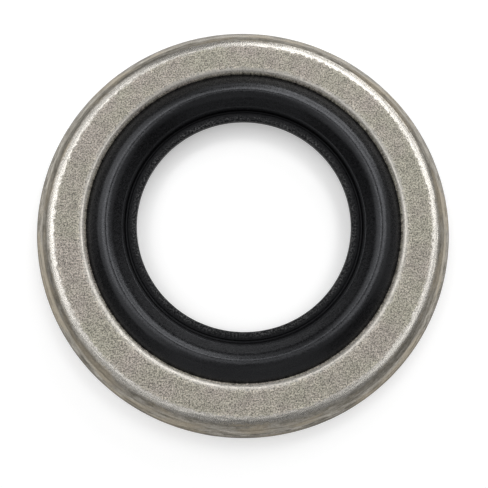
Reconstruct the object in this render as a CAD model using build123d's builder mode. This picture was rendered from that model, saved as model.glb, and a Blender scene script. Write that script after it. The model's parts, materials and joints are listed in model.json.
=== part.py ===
from build123d import *
import math
import os

# Bonded sealing washer: a stamped metal ring with a rubber ring moulded and bonded inside it.
# Millimetres and degrees. Z is the hole's axis, and the origin is its centre, halfway through the washer.
# A slope is a surface's angle from level: of a straight, or of an arc where it ends.

# Metal ring
outer_diameter = 24.0
ring_bore = 18.2
ring_thickness = 2.0
foot_chamfer = 0.12  # tumbled edges at the foot of both walls

# Die roll, where the blanking die drew the upper face's outer edge down: brow, knee, two slopes, corner
roll_width = 1.2
brow_radius = 2.46
brow_slope = 7
knee_radius = 0.54
upper_slope = 26
upper_width = 0.26
lower_slope = 39
corner_chamfer = 0.04

# Punch roll, round the upper edge of the ring's hole: brow, then knee into the wall
bore_brow_radius = 0.75
bore_brow_slope = 22
bore_knee_radius = 0.29

# Rubber ring, alike above and below the mid-plane
crest_diameter = 15.77  # the circle along the top of the bead
crown = 0.22  # how far the bead stands proud of each metal face
outer_crest_radius = 1.0  # the bead's round from its crest outwards
outer_flank_slope = 30
inner_crest_radius = 0.25  # and inwards, tighter at the crest than on the shoulder below it
inner_crest_slope = 27
inner_shoulder_radius = 0.95
inner_flank_slope = 51
foot_height = 0.48  # where the bead's inner flank comes down to the ledge
ledge_height = 0.46  # the ledge stands between the bead's foot and the groove
ledge_chamfer = 0.11
groove_diameter = 13.76  # fine groove between the ledge and the lip
groove_height = 0.18
groove_width = 0.16
lip_bore = 12.7
lip_thickness = 0.44  # where the lip leaves the groove
lip_edge_thickness = 0.36  # and at its bore
lip_chamfer = 0.08

ring_radius = outer_diameter / 2
wall_radius = ring_bore / 2
face_height = ring_thickness / 2
bore_brow_sine = math.sin(math.radians(bore_brow_slope))
bore_roll_width = bore_brow_radius * bore_brow_sine + bore_knee_radius * (1 - bore_brow_sine)

os.makedirs("parts", exist_ok=True)

# The metal ring's section is a strip whose two upper edges are rolled over, the outer one the further.
with BuildPart() as metal_ring:
    with BuildSketch(Plane.XZ):
        with BuildLine():
            brow = JernArc((ring_radius - roll_width, face_height), (1, 0), brow_radius, -brow_slope)
            knee = JernArc(brow @ 1, brow % 1, knee_radius, brow_slope - upper_slope)
            upper = PolarLine(knee @ 1, upper_width, -upper_slope, length_mode=LengthMode.HORIZONTAL)
            lower_width = ring_radius - (upper @ 1).X
            lower = PolarLine(upper @ 1, lower_width, -lower_slope, length_mode=LengthMode.HORIZONTAL)
            bore_brow = JernArc(
                (wall_radius + bore_roll_width, face_height), (-1, 0), bore_brow_radius, bore_brow_slope
            )
            bore_knee = JernArc(bore_brow @ 1, bore_brow % 1, bore_knee_radius, 90 - bore_brow_slope)
            Polyline(lower @ 1, (ring_radius, -face_height), (wall_radius, -face_height), bore_knee @ 1)
            Line(bore_brow @ 0, brow @ 0)
        make_face()
        chamfer(vertices().group_by(Axis.X)[-1].sort_by(Axis.Y)[-1], corner_chamfer)
        chamfer(vertices().group_by(Axis.Y)[0], foot_chamfer)
    revolve(axis=Axis.Z)

# The rubber ring's section is drawn above the mid-plane, from the lip outwards, and mirrored below it.
with BuildPart() as rubber_seal:
    with BuildSketch(Plane.XZ):
        with BuildLine():
            lip_edge = (lip_bore / 2, lip_edge_thickness / 2)
            groove_inner = ((groove_diameter - groove_width) / 2, lip_thickness / 2)
            groove_bottom = (groove_diameter / 2, groove_height)
            ledge_radius = (groove_diameter + groove_width) / 2
            groove_outer = (ledge_radius, lip_thickness / 2)
            ledge_low = (ledge_radius, ledge_height - ledge_chamfer)
            ledge_high = (ledge_radius + ledge_chamfer, ledge_height)
            crest = (crest_diameter / 2, face_height + crown)
            inner_crest = JernArc(crest, (-1, 0), inner_crest_radius, inner_crest_slope)
            inner_shoulder = JernArc(
                inner_crest @ 1, inner_crest % 1, inner_shoulder_radius, inner_flank_slope - inner_crest_slope
            )
            inner_drop = (inner_shoulder @ 1).Y - foot_height
            inner_flank = PolarLine(
                inner_shoulder @ 1, inner_drop, 180 + inner_flank_slope, length_mode=LengthMode.VERTICAL
            )
            Polyline(
                (lip_bore / 2, 0),
                lip_edge,
                groove_inner,
                groove_bottom,
                groove_outer,
                ledge_low,
                ledge_high,
                inner_flank @ 1,
            )
            outer_crest = JernArc(crest, (1, 0), outer_crest_radius, -outer_flank_slope)
            outer_run = wall_radius - (outer_crest @ 1).X
            outer_flank = PolarLine(
                outer_crest @ 1, outer_run, -outer_flank_slope, length_mode=LengthMode.HORIZONTAL
            )
            Line(outer_flank @ 1, (wall_radius, 0))
            mirror(about=Plane.XZ)
        make_face()
        lip_corners = vertices().group_by(Axis.X)[0].sort_by(Axis.Y)
        chamfer([lip_corners[0], lip_corners[-1]], lip_chamfer)
    revolve(axis=Axis.Z)

metal_ring.part.label = "metal_ring"
rubber_seal.part.label = "rubber_seal"

export_step(metal_ring.part, "parts/metal_ring.step")
export_step(rubber_seal.part, "parts/rubber_seal.step")
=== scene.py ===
"""A bonded sealing washer on a white floor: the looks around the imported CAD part.

Lengths are millimetres and angles degrees, until a mesh, a lamp or the camera takes metres and radians.
"""

import json
import math

import bpy
import numpy as np
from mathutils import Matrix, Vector


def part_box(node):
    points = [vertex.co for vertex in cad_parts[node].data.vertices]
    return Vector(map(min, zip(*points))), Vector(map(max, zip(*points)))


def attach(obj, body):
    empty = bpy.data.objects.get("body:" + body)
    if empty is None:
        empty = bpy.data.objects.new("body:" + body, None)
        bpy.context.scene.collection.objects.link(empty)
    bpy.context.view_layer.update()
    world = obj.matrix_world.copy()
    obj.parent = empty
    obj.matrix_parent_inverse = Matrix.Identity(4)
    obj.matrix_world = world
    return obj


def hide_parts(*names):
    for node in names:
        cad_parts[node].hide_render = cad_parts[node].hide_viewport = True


MM = 0.001
SEED = 20

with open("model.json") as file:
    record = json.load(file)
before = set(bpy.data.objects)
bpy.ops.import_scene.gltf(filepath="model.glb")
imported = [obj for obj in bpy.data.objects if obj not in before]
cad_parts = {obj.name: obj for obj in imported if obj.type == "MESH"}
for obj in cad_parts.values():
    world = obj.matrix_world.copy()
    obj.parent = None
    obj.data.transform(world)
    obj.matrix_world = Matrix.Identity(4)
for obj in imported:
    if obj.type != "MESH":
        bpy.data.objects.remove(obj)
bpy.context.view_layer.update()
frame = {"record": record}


# ---------------------------------------------------------------- sizes, the main ones from the frame

ring_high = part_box("metal_ring")[1] / MM
seal_low, seal_high = (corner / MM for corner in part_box("rubber_seal"))
bore_mount = next(mount for mount in frame["record"]["mounts"] if mount["name"] == "bore")

RING_RADIUS = ring_high.x
FACE = ring_high.z
WALL_RADIUS = seal_high.x
CREST = seal_high.z
LIP_RADIUS = bore_mount["dims"]["r_mm"]
FLOOR = seal_low.z

# Die roll, round the outer edge of the upper face: brow, knee, two slopes, corner
ROLL_WIDTH = 1.2
BROW_RADIUS, BROW_SLOPE = 2.46, 7.0
KNEE_RADIUS, UPPER_SLOPE = 0.54, 26.0
UPPER_WIDTH = 0.26
LOWER_SLOPE = 39.0
CORNER_ROUND = 0.08
HEEL_ROUND = 0.15  # at the foot of both walls

# Punch roll, round the upper edge of the ring's hole: brow, then knee into the wall
BORE_BROW_RADIUS, BORE_BROW_SLOPE = 0.75, 22.0
BORE_KNEE_RADIUS = 0.29

# Rubber, alike above and below the mid-plane
CREST_RADIUS = 7.885
OUTER_ROUND, OUTER_FLANK = 1.0, 30.0
INNER_ROUND, INNER_ROUND_SLOPE = 0.25, 27.0
SHOULDER_ROUND, INNER_FLANK = 0.95, 51.0
FOOT = 0.48
LEDGE = 0.46
LEDGE_ROUND = 0.13
GROOVE_RADIUS = 6.88
GROOVE_HALF_WIDTH = 0.08
GROOVE = 0.18
GROOVE_SLOPE = 53.0  # where the lip's top turns down into it
LIP_ROOT = 0.22
LIP_TIP = 0.18
LIP_ROUND = 0.09

# Fineness of the meshes, which keeps each under 200,000 triangles
SEGMENTS = 720
SEEN_COARSENESS = 1.5
HIDDEN_COARSENESS = 3.2

# Relief, which only goes inwards
PITTING = 0.004
DRAW_LINES = 0.005
DRAW_LINES_FULL = 0.3  # how far past the face the draw lines reach their full depth
JOINT_WIDTH = 0.2  # where the rubber's relief fades out towards the ring's wall

# Bands round the ring's hole, from its wall outwards
WALL_SKIN = 0.05  # so near to the wall's radius is the wall itself, which isn't worn
BORE_WEAR = 0.28
BORE_SIDE = 0.6
UNWORN = -0.2


# ---------------------------------------------------------------- outlines and relief

def line(start, end, step):
    """Points from start to just before end, about step apart."""
    count = max(2, round(math.dist(start, end) / step))
    share = np.arange(count)[:, None] / count
    return np.array(start) * (1 - share) + np.array(end) * share


def arc(start, end, heading, step):
    """Points of the arc that leaves start along heading and reaches end, without end itself."""
    start, end = np.array(start, float), np.array(end, float)
    chord = end - start
    half_turn = math.atan2(chord[1], chord[0]) - math.radians(heading)
    half_turn = (half_turn + math.pi) % (2 * math.pi) - math.pi
    radius = np.linalg.norm(chord) / (2 * math.sin(half_turn))
    centre = start + radius * np.array([-math.sin(math.radians(heading)), math.cos(math.radians(heading))])
    count = max(3, round(abs(radius * 2 * half_turn) / step))
    turned = np.arange(count)[:, None] / count * 2 * half_turn
    spoke = start - centre
    return centre + np.hstack([
        spoke[0] * np.cos(turned) - spoke[1] * np.sin(turned),
        spoke[0] * np.sin(turned) + spoke[1] * np.cos(turned),
    ])


def bend(start, heading, radius, turn):
    """Where an arc ends that leaves start along heading and turns left by turn."""
    before, after = math.radians(heading), math.radians(heading + turn)
    radius = math.copysign(radius, turn)
    return (
        start[0] + radius * (math.sin(after) - math.sin(before)),
        start[1] - radius * (math.cos(after) - math.cos(before)),
    )


def down(start, width, slope):
    """The point width further out on a straight that falls at slope."""
    return (start[0] + width, start[1] - width * math.tan(math.radians(slope)))


def rounding(before, corner, after, radius):
    """Where the arc that rounds a corner begins and ends."""
    corner = np.array(corner)
    back, on = np.array(before) - corner, np.array(after) - corner
    back, on = back / np.linalg.norm(back), on / np.linalg.norm(on)
    reach = radius / math.tan(math.acos(back @ on) / 2)
    return tuple(corner + back * reach), tuple(corner + on * reach)


def noise(rng, around, across, shape):
    """Smooth noise in -1..1 on a grid of azimuths by outline points, periodic round the ring."""
    grid = rng.uniform(-1, 1, (around, across + 2))
    a = np.arange(shape[0]) / shape[0] * around
    b = np.linspace(0, across, shape[1])
    a0, b0 = a.astype(int), np.minimum(b.astype(int), across)
    fa, fb = a - a0, b - b0
    fa, fb = (fa * fa * (3 - 2 * fa))[:, None], (fb * fb * (3 - 2 * fb))[None, :]
    a1, b1 = (a0 + 1) % around, b0 + 1
    near = grid[np.ix_(a0, b0)] * (1 - fb) + grid[np.ix_(a0, b1)] * fb
    far = grid[np.ix_(a1, b0)] * (1 - fb) + grid[np.ix_(a1, b1)] * fb
    return near * (1 - fa) + far * fa


def outward(outline):
    """Unit normals of a closed outline that runs anticlockwise."""
    along = np.roll(outline, -1, 0) - np.roll(outline, 1, 0)
    along /= np.linalg.norm(along, axis=1)[:, None]
    return np.stack([along[:, 1], -along[:, 0]], 1)


def revolved(name, outline, relief, attributes):
    """A ring from a closed outline (radius, height), relief along its normals and values at its points."""
    count = len(outline)
    section = outline[None] + outward(outline)[None] * relief[..., None]
    azimuth = np.arange(SEGMENTS) / SEGMENTS * 2 * math.pi
    radius, height = section[..., 0], section[..., 1]
    points = np.stack([radius * np.cos(azimuth)[:, None], radius * np.sin(azimuth)[:, None], height], -1)
    i, j = np.meshgrid(np.arange(SEGMENTS), np.arange(count), indexing="ij")
    ni, nj = (i + 1) % SEGMENTS, (j + 1) % count
    quads = np.stack([i * count + j, ni * count + j, ni * count + nj, i * count + nj], -1).reshape(-1, 4)
    mesh = bpy.data.meshes.new(name)
    mesh.from_pydata((points.reshape(-1, 3) * MM).tolist(), [], quads.tolist())
    mesh.shade_smooth()
    for label, values in attributes.items():
        held = mesh.attributes.new(label, "FLOAT", "POINT")
        held.data.foreach_set("value", np.tile(values, SEGMENTS).astype(np.float32))
    piece = bpy.data.objects.new(name, mesh)
    bpy.context.scene.collection.objects.link(piece)
    return piece


# ---------------------------------------------------------------- the metal ring

def metal_outline():
    """The ring's section, anticlockwise from the top of its hole."""
    roll_start = (RING_RADIUS - ROLL_WIDTH, FACE)
    brow = bend(roll_start, 0, BROW_RADIUS, -BROW_SLOPE)
    knee = bend(brow, -BROW_SLOPE, KNEE_RADIUS, BROW_SLOPE - UPPER_SLOPE)
    upper = down(knee, UPPER_WIDTH, UPPER_SLOPE)
    lower = down(upper, RING_RADIUS - upper[0], LOWER_SLOPE)
    foot, bore_foot = (RING_RADIUS, -FACE), (WALL_RADIUS, -FACE)
    corner, wall_top = rounding(upper, lower, foot, CORNER_ROUND)
    wall_low, heel = rounding(lower, foot, bore_foot, HEEL_ROUND)
    bore_drop = bend(
        bend((0, 0), 180, BORE_BROW_RADIUS, BORE_BROW_SLOPE),
        180 + BORE_BROW_SLOPE, BORE_KNEE_RADIUS, 90 - BORE_BROW_SLOPE,
    )
    bore_start = (WALL_RADIUS - bore_drop[0], FACE)
    bore_brow = bend(bore_start, 180, BORE_BROW_RADIUS, BORE_BROW_SLOPE)
    bore_high = (WALL_RADIUS, FACE + bore_drop[1])
    bore_heel, bore_low = rounding(heel, bore_foot, bore_high, HEEL_ROUND)
    clockwise = np.vstack([
        arc(bore_high, bore_brow, 90, 0.025),
        arc(bore_brow, bore_start, BORE_BROW_SLOPE, 0.03),
        line(bore_start, roll_start, 0.08),
        arc(roll_start, brow, 0, 0.03),
        arc(brow, knee, -BROW_SLOPE, 0.02),
        line(knee, upper, 0.04),
        line(upper, corner, 0.04),
        arc(corner, wall_top, -LOWER_SLOPE, 0.012),
        line(wall_top, wall_low, 0.15),
        arc(wall_low, heel, -90, 0.05),
        line(heel, bore_heel, 0.25),
        arc(bore_heel, bore_low, 180, 0.05),
        line(bore_low, bore_high, 0.3),
    ])
    return clockwise[::-1]


def make_metal_ring():
    """The ring's mesh. Its past_face is how far a point lies into a worn edge, negative on the flats."""
    rng = np.random.default_rng(SEED)
    outline = metal_outline()
    shape = (SEGMENTS, len(outline))
    radius, height = outline.T
    past_heel = (radius - RING_RADIUS + HEEL_ROUND) * ROLL_WIDTH / HEEL_ROUND
    past_outer = np.where(height > 0, radius - RING_RADIUS + ROLL_WIDTH, past_heel)
    past_bore = np.where(radius < WALL_RADIUS + WALL_SKIN, UNWORN, WALL_RADIUS + BORE_WEAR - radius)
    past_face = np.where(radius < WALL_RADIUS + BORE_SIDE, past_bore, past_outer)
    pitted = np.abs(noise(rng, around=90, across=30, shape=shape))
    lined = 0.5 + 0.5 * noise(rng, around=260, across=1, shape=shape)
    relief = -PITTING * pitted
    relief -= DRAW_LINES * lined * np.clip(past_face / DRAW_LINES_FULL, 0, 1)
    marks = {"past_face": past_face, "from_bore": radius - WALL_RADIUS}
    piece = revolved("metal_ring_surface", outline, relief, marks)
    piece.data.materials.append(plated_steel())
    return piece


# ---------------------------------------------------------------- the rubber ring

def rubber_half(coarseness):
    """The section above the mid-plane, from the lip's bore out to the ring's wall."""
    fine, medium, broad = 0.02 * coarseness, 0.03 * coarseness, 0.04 * coarseness
    groove_in = (GROOVE_RADIUS - GROOVE_HALF_WIDTH, LIP_ROOT)
    groove_mid = (GROOVE_RADIUS, GROOVE)
    groove_out = (GROOVE_RADIUS + GROOVE_HALF_WIDTH, LIP_ROOT)
    lip_low, lip_top = rounding((LIP_RADIUS, 0), (LIP_RADIUS, LIP_TIP), groove_in, LIP_ROUND)
    crest = (CREST_RADIUS, CREST)
    inner = bend(crest, 180, INNER_ROUND, INNER_ROUND_SLOPE)
    shoulder = bend(inner, 180 + INNER_ROUND_SLOPE, SHOULDER_ROUND, INNER_FLANK - INNER_ROUND_SLOPE)
    foot = down(shoulder, (FOOT - shoulder[1]) / math.tan(math.radians(INNER_FLANK)), -INNER_FLANK)
    outer = bend(crest, 0, OUTER_ROUND, -OUTER_FLANK)
    joint = down(outer, WALL_RADIUS - outer[0], OUTER_FLANK)
    ledge_low, ledge_high = rounding(groove_out, (groove_out[0], LEDGE), foot, LEDGE_ROUND)
    return np.vstack([
        line((LIP_RADIUS, 0), lip_low, broad),
        arc(lip_low, lip_top, 90, fine),
        line(lip_top, groove_in, fine),
        arc(groove_in, groove_mid, -GROOVE_SLOPE, fine),
        arc(groove_mid, groove_out, 0, fine),
        line(groove_out, ledge_low, fine),
        arc(ledge_low, ledge_high, 90, fine),
        line(ledge_high, foot, medium),
        line(foot, shoulder, broad),
        arc(shoulder, inner, INNER_FLANK, medium),
        arc(inner, crest, INNER_ROUND_SLOPE, fine),
        arc(crest, outer, 0, medium),
        line(outer, joint, broad),
        [joint],
    ])


def make_rubber_seal():
    """The seal's mesh, with its lip, groove and ledge in a duller rubber than the bead."""
    rng = np.random.default_rng(SEED + 1)
    upper = rubber_half(SEEN_COARSENESS)
    lower = rubber_half(HIDDEN_COARSENESS)[::-1] * np.array([1, -1])
    outline = np.vstack([upper, lower[:-1]])[::-1]
    shape = (SEGMENTS, len(outline))
    radius = outline[:, 0]
    pitted = np.abs(noise(rng, around=70, across=24, shape=shape))
    relief = -PITTING * pitted * np.clip((WALL_RADIUS - radius) / JOINT_WIDTH, 0, 1)
    piece = revolved("rubber_seal_surface", outline, relief, {"past_lip": radius - LIP_RADIUS})
    bead = black_rubber("black_rubber", BEAD_BLOOM, (0.35, 0.35), per_mm=7.0, roughest=0.34, gloss=0.62)
    # the lip: grey at its bore, darker towards its root by the bead
    lip = black_rubber("lip_rubber", LIP_BLOOM, (1.0, 0.0), per_mm=10.0, roughest=0.5, gloss=0.15)
    piece.data.materials.append(bead)
    piece.data.materials.append(lip)
    dull = radius < GROOVE_RADIUS + GROOVE_HALF_WIDTH + LEDGE_ROUND
    piece.data.polygons.foreach_set("material_index", np.tile(dull, SEGMENTS).astype(np.int32))
    return piece


# ---------------------------------------------------------------- materials

GRAINED_OLIVE = (0.362, 0.344, 0.284, 1)
GRAINED_PINK = (0.378, 0.342, 0.302, 1)
BURNISHED = (0.50, 0.48, 0.445, 1)
PITTED = (0.27, 0.26, 0.235, 1)
DRAWN_DARK = (0.27, 0.245, 0.2, 1)
DRAWN_LIGHT = (0.6, 0.565, 0.5, 1)
DRAWN_TAN = (0.52, 0.455, 0.35, 1)

RUBBER = (0.0015, 0.0015, 0.0018, 1)
BEAD_BLOOM = (0.012, 0.012, 0.0135, 1)
LIP_BLOOM = (0.13, 0.13, 0.131, 1)

# Where each kind of wear, and each band of painted shade, reflection and highlight, comes in, and goes out
# again, by the distance past the face
FRAY = 0.12  # how far the edges of the wear wander, either way
# wear and a painted highlight: a lighter ring on the face at the worn edge
WEAR_AND_HIGHLIGHT_IN = (-0.2, -0.06)
BURNISH_IN = (-0.08, 0.04)
DRAWN_IN = (0.24, 0.46)
# painted reflection: a dark band near the top of the outer slopes
DARK_REFLECTION_IN, DARK_REFLECTION_OUT = (0.24, 0.34), (0.46, 0.6)
# painted shade: a thin dark line near the foot of the outer slopes, for a fine crease
CREASE_SHADE_IN, CREASE_SHADE_OUT = (0.9, 0.98), (1.02, 1.08)
# painted shade: the outer wall darker
WALL_SHADE_IN = (1.06, 1.12)

# The same by the distance from the wall of the ring's hole
# painted shade: the ring's wall by the rubber, darkened in colour
JOINT_SHADE_OUT = (-0.08, 0.04)
OFF_BORE = (0.4, 0.6)

# And by the distance from the lip's bore
# the lip: grey grains at its bore, thinning out so it is darker towards its root by the bead
ROOT_IN = (0.14, 0.4)

# Gloss of the metal's worn edges, and what the grained flats have of it
BURNISHED_ROUGHNESS, DRAWN_ROUGHNESS = 0.26, 0.24
BURNISHED_METALLIC, DRAWN_METALLIC = 0.92, 0.6
GRAINED_ROUGHNESS_SHARE = 2.4
GRAINED_METALLIC_SHARE = 0.13
GRAINED_HEIGHT = 0.02
WORN_HEIGHT_SHARE = 0.22
RUBBER_HEIGHT = 0.012

FLOOR_WHITE = 0.77
FLOOR_LIFT = 0.38  # what the camera sees on top of the lit floor
MIRRORED_LIFT_SHARE = 0.6


def add(tree, kind, inputs=None, **settings):
    """A shader node with its settings, and each input set to a value or linked from a socket."""
    made = tree.nodes.new("ShaderNode" + kind)
    for name, value in settings.items():
        setattr(made, name, value)
    for name, value in (inputs or {}).items():
        if isinstance(value, bpy.types.NodeSocket):
            tree.links.new(value, made.inputs[name])
        else:
            made.inputs[name].default_value = value
    return made


def new_material(name):
    """A material, its node tree and its shader."""
    material = bpy.data.materials.new(name)
    material.use_nodes = True
    tree = material.node_tree
    return material, tree, tree.nodes["Principled BSDF"]


def in_mm(tree):
    """The point on the piece, in mm."""
    coordinates = add(tree, "TexCoord")
    scaled = add(tree, "VectorMath", {0: coordinates.outputs["Object"], "Scale": 1 / MM}, operation="SCALE")
    return scaled.outputs[0]


def grain(tree, where, per_mm, detail=2.0, roughness=0.5):
    """Noise in 0..1 with per_mm cells to the millimetre."""
    inputs = {"Vector": where, "Scale": per_mm, "Detail": detail, "Roughness": roughness}
    return add(tree, "TexNoise", inputs).outputs[0]


def spread(tree, value, low, high, to_low=0.0, to_high=1.0):
    """value from low..high to to_low..to_high, eased at both ends."""
    inputs = {"Value": value, "From Min": low, "From Max": high, "To Min": to_low, "To Max": to_high}
    return add(tree, "MapRange", inputs, interpolation_type="SMOOTHSTEP").outputs[0]


def combine(tree, operation, a, b):
    return add(tree, "Math", {0: a, 1: b}, operation=operation).outputs[0]


def product(tree, first, *others):
    for other in others:
        first = combine(tree, "MULTIPLY", first, other)
    return first


def band(tree, value, rise, fall):
    """1 from the end of rise to the start of fall, and 0 outside them."""
    return product(tree, spread(tree, value, *rise), spread(tree, value, fall[1], fall[0]))


def blend(tree, factor, a, b, mode="MIX"):
    """Two colours mixed, with numbers counting as greys."""
    made = tree.nodes.new("ShaderNodeMix")
    made.data_type = "RGBA"
    made.blend_type = mode
    for socket, value in ((made.inputs[0], factor), (made.inputs[6], a), (made.inputs[7], b)):
        if isinstance(value, bpy.types.NodeSocket):
            tree.links.new(value, socket)
        else:
            socket.default_value = value
    return made.outputs[2]


def shaded(tree, colour, shade):
    return blend(tree, 1.0, colour, shade, "MULTIPLY")


def held_by(tree, name):
    """A value that the mesh holds at each of its points."""
    return add(tree, "Attribute", attribute_name=name).outputs["Fac"]


def along_edge(tree, where, across, round_per_mm, across_per_mm):
    """A place in noise that moves slowly round the ring and quickly across its edge."""
    level = add(tree, "VectorMath", {0: where, 1: (1, 1, 0)}, operation="MULTIPLY").outputs[0]
    spoke = add(tree, "VectorMath", {0: level}, operation="NORMALIZE").outputs[0]
    step = add(tree, "CombineXYZ", {"Z": combine(tree, "MULTIPLY", across, across_per_mm)}).outputs[0]
    reach = RING_RADIUS * round_per_mm
    inputs = {0: spoke, 1: (reach, reach, 0), 2: step}
    return add(tree, "VectorMath", inputs, operation="MULTIPLY_ADD").outputs[0]


def grained(tree, where, speck, edge):
    """The flats: plating whose tint drifts from olive to pink, speckled, pitted and patchy, and lighter
    towards the worn edge, as wear and as a painted highlight.
    """
    drift = grain(tree, where, 0.45, 2.0)
    tint = blend(tree, spread(tree, drift, 0.35, 0.65), GRAINED_OLIVE, GRAINED_PINK)
    pit = grain(tree, where, 4.5, 3.0, 0.7)
    patch = grain(tree, where, 2.2, 3.0, 0.6)
    shade = product(
        tree,
        spread(tree, speck, 0.32, 0.68, 0.05, 1.95),
        spread(tree, pit, 0.43, 0.33, 1.0, 0.7),
        spread(tree, patch, 0.25, 0.75, 0.86, 1.14),
        # painted highlight and wear: lighter just inside the worn edge
        spread(tree, edge, *WEAR_AND_HIGHLIGHT_IN, 1.0, 1.25),
    )
    return shaded(tree, tint, shade)


def drawn_in_streaks(tree, where, speck, past_face, edge):
    """The outer slopes and the wall: streaks, a dark band painted in as a reflection, a thin dark line
    painted in as a crease's shade, and the wall painted darker as shade.
    """
    streak = grain(tree, along_edge(tree, where, past_face, 1.2, 8.0), 1.0, 4.0, 0.75)
    wash = grain(tree, along_edge(tree, where, past_face, 0.4, 2.5), 1.0, 2.0)
    colour = blend(tree, spread(tree, streak, 0.3, 0.7), DRAWN_DARK, DRAWN_LIGHT)
    colour = blend(tree, spread(tree, wash, 0.45, 0.65, 0.0, 0.8), colour, DRAWN_TAN)
    colour = shaded(tree, colour, spread(tree, speck, 0.25, 0.75, 0.8, 1.2))
    # painted shade of a fine crease, broken up by the streaks
    crease_shade = product(tree, band(tree, past_face, CREASE_SHADE_IN, CREASE_SHADE_OUT), spread(tree, streak, 0.6, 0.4))
    # painted shade: the outer wall darker than the slopes
    wall_shade = spread(tree, past_face, *WALL_SHADE_IN)
    # painted reflection: the dark band near the top of the slopes
    dark_reflection = band(tree, edge, DARK_REFLECTION_IN, DARK_REFLECTION_OUT)
    # the painted shades and painted reflection, multiplied into the streaks
    lined = product(
        tree,
        spread(tree, combine(tree, "MAXIMUM", crease_shade, wall_shade), 0.0, 1.0, 1.0, 0.6),
        spread(tree, dark_reflection, 0.0, 1.0, 1.0, 0.7),
    )
    return shaded(tree, colour, lined)


def plated_steel():
    """Grained on the flats, burnished where tumbling wore the edges, and drawn in streaks beyond them, with
    painted shade down the wall of its hole.
    """
    material, tree, shader = new_material("plated_steel")
    where = in_mm(tree)
    past_face = held_by(tree, "past_face")
    from_bore = held_by(tree, "from_bore")
    speck = grain(tree, where, 11.0, 3.0, 0.95)

    frayed = grain(tree, along_edge(tree, where, past_face, 3.5, 9.0), 1.0, 3.0, 0.8)
    ragged = spread(tree, frayed, 0.25, 0.75, -FRAY, FRAY)
    edge = combine(tree, "ADD", past_face, ragged)
    worn = product(tree, spread(tree, edge, *BURNISH_IN), spread(tree, from_bore, *OFF_BORE, 0.85, 1.0))
    drawn = spread(tree, edge, *DRAWN_IN)

    burnished = blend(tree, spread(tree, speck, 0.5, 0.36), BURNISHED, PITTED)
    streaked = drawn_in_streaks(tree, where, speck, past_face, edge)
    colour = blend(tree, worn, grained(tree, where, speck, edge), blend(tree, drawn, burnished, streaked))
    # painted shade: the wall of the ring's hole and the foot of the worn edge above it, darkened
    joint_shade = spread(tree, combine(tree, "ADD", from_bore, ragged), *JOINT_SHADE_OUT, 0.4, 1.0)
    tree.links.new(shaded(tree, colour, joint_shade), shader.inputs["Base Color"])

    edge_roughness = spread(tree, drawn, 0.0, 1.0, BURNISHED_ROUGHNESS, DRAWN_ROUGHNESS)
    roughness = product(tree, spread(tree, worn, 0.0, 1.0, GRAINED_ROUGHNESS_SHARE, 1.0), edge_roughness)
    tree.links.new(roughness, shader.inputs["Roughness"])
    edge_metallic = spread(tree, drawn, 0.0, 1.0, BURNISHED_METALLIC, DRAWN_METALLIC)
    edge_metallic = product(tree, edge_metallic, spread(tree, from_bore, *OFF_BORE, 0.7, 1.0))
    metallic = product(tree, spread(tree, worn, 0.0, 1.0, GRAINED_METALLIC_SHARE, 1.0), edge_metallic)
    tree.links.new(metallic, shader.inputs["Metallic"])
    shader.inputs["Specular Tint"].default_value = (0.6, 0.6, 0.6, 1)

    height = product(tree, speck, spread(tree, worn, 0.0, 1.0, 1.0, WORN_HEIGHT_SHARE))
    bump = add(tree, "Bump", {"Height": height, "Distance": GRAINED_HEIGHT * MM, "Strength": 0.6})
    tree.links.new(bump.outputs[0], shader.inputs["Normal"])
    return material


def black_rubber(name, bloomed, shares, per_mm, roughest, gloss):
    """Moulded rubber, bloomed in grains by the first share at the lip's bore and the second past its root, so
    a lip with a smaller second share is darker towards its root.
    """
    material, tree, shader = new_material(name)
    where = in_mm(tree)
    fine = grain(tree, where, per_mm, 3.0, 0.85)
    broad = grain(tree, where, 1.1, 2.0)
    bloom = product(
        tree,
        spread(tree, fine, 0.45, 0.7),
        spread(tree, held_by(tree, "past_lip"), *ROOT_IN, *shares),
        spread(tree, broad, 0.3, 0.7, 0.5, 1.0),
    )
    tree.links.new(blend(tree, bloom, RUBBER, bloomed), shader.inputs["Base Color"])
    tree.links.new(spread(tree, fine, 0.3, 0.7, 0.22, roughest), shader.inputs["Roughness"])
    shader.inputs["Specular IOR Level"].default_value = gloss
    shader.inputs["Specular Tint"].default_value = (0.92, 0.94, 1.0, 1)
    bump = add(tree, "Bump", {"Height": fine, "Distance": RUBBER_HEIGHT * MM, "Strength": 0.6})
    tree.links.new(bump.outputs[0], shader.inputs["Normal"])
    return material


def white_floor():
    """Diffuse white that keeps the shadow, lifted to the page's white for the camera and reflections."""
    material, tree, shader = new_material("white_floor")
    shader.inputs["Base Color"].default_value = (FLOOR_WHITE, FLOOR_WHITE, FLOOR_WHITE, 1)
    shader.inputs["Roughness"].default_value = 1.0
    shader.inputs["Specular IOR Level"].default_value = 0.0
    path = add(tree, "LightPath")
    seen = combine(tree, "MAXIMUM", path.outputs["Is Camera Ray"], path.outputs["Is Transmission Ray"])
    mirrored = combine(tree, "MULTIPLY", path.outputs["Is Glossy Ray"], MIRRORED_LIFT_SHARE)
    seen = combine(tree, "MAXIMUM", seen, mirrored)
    strength = combine(tree, "MULTIPLY", seen, FLOOR_LIFT)
    lift = add(tree, "Emission", {"Color": (1, 1, 1, 1), "Strength": strength})
    total = add(tree, "AddShader", {0: shader.outputs[0], 1: lift.outputs[0]})
    tree.links.new(total.outputs[0], tree.nodes["Material Output"].inputs["Surface"])
    return material


# ---------------------------------------------------------------- stage, lamps and camera

FLOOR_HALF_WIDTH = 600
SKY = 0.06  # the world's light on the washer
PAGE_WHITE = 1.0  # and what the camera sees of it

LAMP_DISTANCE = 200

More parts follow.
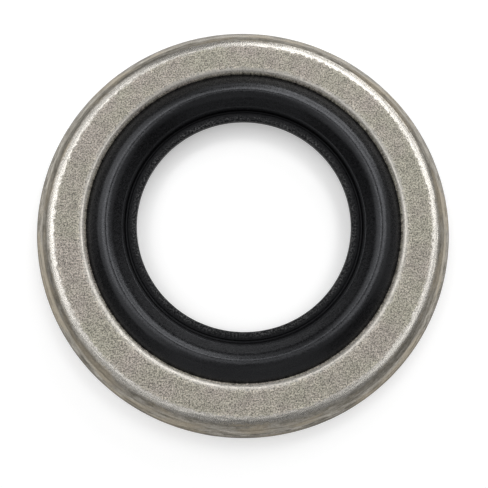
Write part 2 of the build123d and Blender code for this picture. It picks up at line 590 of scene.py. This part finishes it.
# Softboxes: name, azimuth from +X, lean from straight up, width, height, radiance
SOFTBOXES = (
    ("key_low", 57, 62, 42, 15, 2.9),
    ("key", 58, 36, 42, 18, 1.8),
    ("east_high", 20, 30, 22, 21, 1.95),
    ("north_high", 70, 35, 23, 19, 2.05),
    ("north_west", 137, 43, 35, 32, 0.92),
    ("north_west_high", 130, 29, 30, 11, 2.8),
    ("west_high", 174, 28, 18, 15, 2.5),
    ("south_west_top", 200, 12, 8, 10, 3.2),
    ("north_low", 87, 66, 37, 21, 0.6),
    ("north_west_low", 151, 61, 48, 19, 0.75),
    ("front_left", 230, 49, 45, 34, 0.16),
    ("front_right", 297, 46, 48, 29, 0.26),
    ("east_low", 8, 59, 48, 31, 0.41),
    ("west_low", 193, 47, 58, 26, 0.53),
    ("south_west", 225, 32, 34, 14, 0.25),
    ("top", 140, 15, 30, 16, 0.35),
    ("east_front", 345, 26, 15, 20, 1.7),
    ("front_top", 267, 12, 16, 11, 1.7),
    ("front_low", 270, 66, 70, 16, 0.3),
    ("south_west_brow", 225, 21, 20, 8, 1.2),
    ("south_east_brow", 318, 21, 14, 8, 0.9),
)

CAMERA_TARGET = Vector((-0.024, -1.428, 1.0))
CAMERA_DISTANCE = 26.0
CAMERA_LEAN_SOUTH = 9.26
CAMERA_LEAN_WEST = 0.9
CAMERA_LENS = 33.88
SENSOR_WIDTH = 36.0
CLIP_START, CLIP_END = 1, 2000


def make_floor():
    half = FLOOR_HALF_WIDTH
    mesh = bpy.data.meshes.new("floor")
    corners = [(-half, -half, FLOOR), (half, -half, FLOOR), (half, half, FLOOR), (-half, half, FLOOR)]
    mesh.from_pydata([Vector(corner) * MM for corner in corners], [], [(0, 1, 2, 3)])
    floor = bpy.data.objects.new("floor", mesh)
    bpy.context.scene.collection.objects.link(floor)
    mesh.materials.append(white_floor())


def make_world():
    """A faint even light on the washer, which the camera sees as white."""
    world = bpy.data.worlds.new("studio")
    bpy.context.scene.world = world
    world.use_nodes = True
    tree = world.node_tree
    background = tree.nodes["Background"]
    path = add(tree, "LightPath")
    strength = spread(tree, path.outputs["Is Camera Ray"], 0.0, 1.0, SKY, PAGE_WHITE)
    tree.links.new(strength, background.inputs["Strength"])
    background.inputs["Color"].default_value = (1, 1, 1, 1)


def make_lamp(name, azimuth, lean, width, height, radiance):
    """A softbox that faces the washer, as wide (along the level) and as high as the washer sees it."""
    lamp = bpy.data.lights.new(name, "AREA")
    lamp.shape = "RECTANGLE"
    lamp.size = 2 * LAMP_DISTANCE * MM * math.tan(math.radians(width / 2))
    lamp.size_y = 2 * LAMP_DISTANCE * MM * math.tan(math.radians(height / 2))
    lamp.energy = radiance * math.pi * lamp.size * lamp.size_y
    placed = bpy.data.objects.new(name, lamp)
    placed.rotation_euler = (math.radians(lean), 0, math.radians(azimuth + 90))
    turn, tip = math.radians(azimuth), math.radians(lean)
    towards = Vector((math.sin(tip) * math.cos(turn), math.sin(tip) * math.sin(turn), math.cos(tip)))
    placed.location = towards * LAMP_DISTANCE * MM
    placed.visible_camera = False
    bpy.context.scene.collection.objects.link(placed)


def make_camera():
    """The photograph's view: close above the washer, and a little to its front and left."""
    data = bpy.data.cameras.new("camera")
    data.lens = CAMERA_LENS
    data.sensor_width = SENSOR_WIDTH
    data.clip_start = CLIP_START * MM
    data.clip_end = CLIP_END * MM
    camera = bpy.data.objects.new("camera", data)
    south, west = math.radians(CAMERA_LEAN_SOUTH), math.radians(CAMERA_LEAN_WEST)
    back = Vector((-math.sin(west), -math.sin(south) * math.cos(west), math.cos(south) * math.cos(west)))
    camera.location = (CAMERA_TARGET + back * CAMERA_DISTANCE) * MM
    camera.rotation_euler = (south, -west, 0)
    bpy.context.scene.collection.objects.link(camera)
    bpy.context.scene.camera = camera


# ---------------------------------------------------------------- the scene

metal = make_metal_ring()
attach(metal, "root")
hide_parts("metal_ring")

rubber = make_rubber_seal()
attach(rubber, "root")
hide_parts("rubber_seal")

make_floor()
make_world()
for softbox in SOFTBOXES:
    make_lamp(*softbox)
make_camera()
bpy.context.scene.view_settings.view_transform = "Standard"
